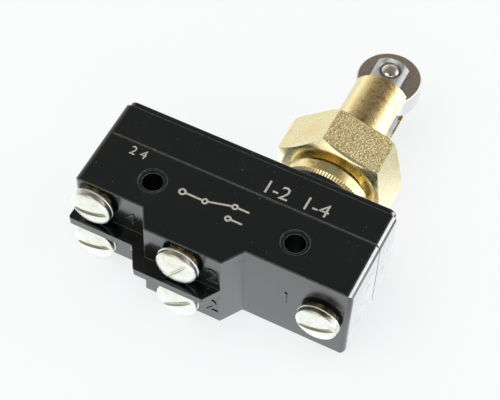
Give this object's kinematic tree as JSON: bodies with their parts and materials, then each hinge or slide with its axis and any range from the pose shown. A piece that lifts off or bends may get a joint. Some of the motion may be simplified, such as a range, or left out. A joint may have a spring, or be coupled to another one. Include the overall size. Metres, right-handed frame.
{
  "type": "limit switch",
  "caption": "Basic snap-action limit switch: black two-part moulded housing with screw terminals and a sprung roller plunger in a hexagon sleeve.",
  "frame": {"origin": "midway between the centres of the two mounting holes, at mid thickness of the housing", "axes": "+X along the housing from the normally-open end to the common end, +Y along the plunger towards the roller, +Z through the thickness, up as the switch lies on its side"},
  "size_m": [0.0492, 0.0601, 0.0208],
  "materials": {
    "phenolic": "moulded black, semi-gloss",
    "gold_zinc": "yellow-chromated zinc plate over machined steel",
    "nickel": "pale nickel plate, softly polished",
    "steel": "satin ground steel",
    "roller_steel": "hardened steel, polished tread",
    "brass": "rolled brass sheet",
    "silver": "silver contact alloy",
    "copper_alloy": "beryllium copper strip",
    "button_plastic": "dark red phenolic"
  },
  "bodies": {
    "housing": {"case": "phenolic", "cover": "phenolic", "cover_screws": "steel", "open_terminal_front": "brass", "closed_terminal_front": "brass", "open_contact_front": "silver", "closed_contact_front": "silver", "open_terminal_back": "brass", "closed_terminal_back": "brass", "open_contact_back": "silver", "closed_contact_back": "silver", "common_terminal": "brass", "pivot_clip": "brass", "spring_anchor": "brass", "washer_open_front": "nickel", "screw_open_front": "nickel", "washer_open_back": "nickel", "screw_open_back": "nickel", "washer_closed_front": "nickel", "screw_closed_front": "nickel", "washer_closed_back": "nickel", "screw_closed_back": "nickel", "washer_common": "nickel", "screw_common": "nickel", "knurled_bushing": "gold_zinc", "hex_sleeve": "gold_zinc", "return_spring": "steel"},
    "plunger": {"fork_plunger": "steel", "retaining_ring": "steel", "axle_pin": "steel", "overtravel_spring": "steel"},
    "roller": {"roller": "roller_steel"},
    "pusher": {"push_rod": "steel", "switch_button": "button_plastic"},
    "blade": {"snap_blade": "copper_alloy", "moving_contact_front": "silver", "moving_contact_back": "silver"}
  },
  "joints": [
    {"name": "plunger_slide", "type": "slide", "parent": "housing", "child": "plunger", "axis": [0, -1, 0], "range_m": [0, 0.004], "stiffness_N_per_m": 1200, "springref_m": -0.0025, "deforming": ["return_spring", "overtravel_spring"]},
    {"name": "roller_spin", "type": "hinge", "parent": "plunger", "child": "roller", "pos_m": [0.01055, 0.0426, 0], "axis": [0, 0, 1], "continuous": true},
    {"name": "pusher_slide", "type": "slide", "parent": "housing", "child": "pusher", "axis": [0, -1, 0], "range_m": [0, 0.0005]},
    {"name": "blade_snap", "type": "hinge", "parent": "housing", "child": "blade", "pos_m": [0.0194, 0.00658, 0], "axis": [0, 0, 1], "range_deg": [0, 1.22]}
  ],
  "couplings": [
    {"joint": "pusher_slide", "follows": "plunger_slide", "ratio": 0.125},
    {"joint": "blade_snap", "follows": "plunger_slide", "rad_per_m": 5.236}
  ]
}
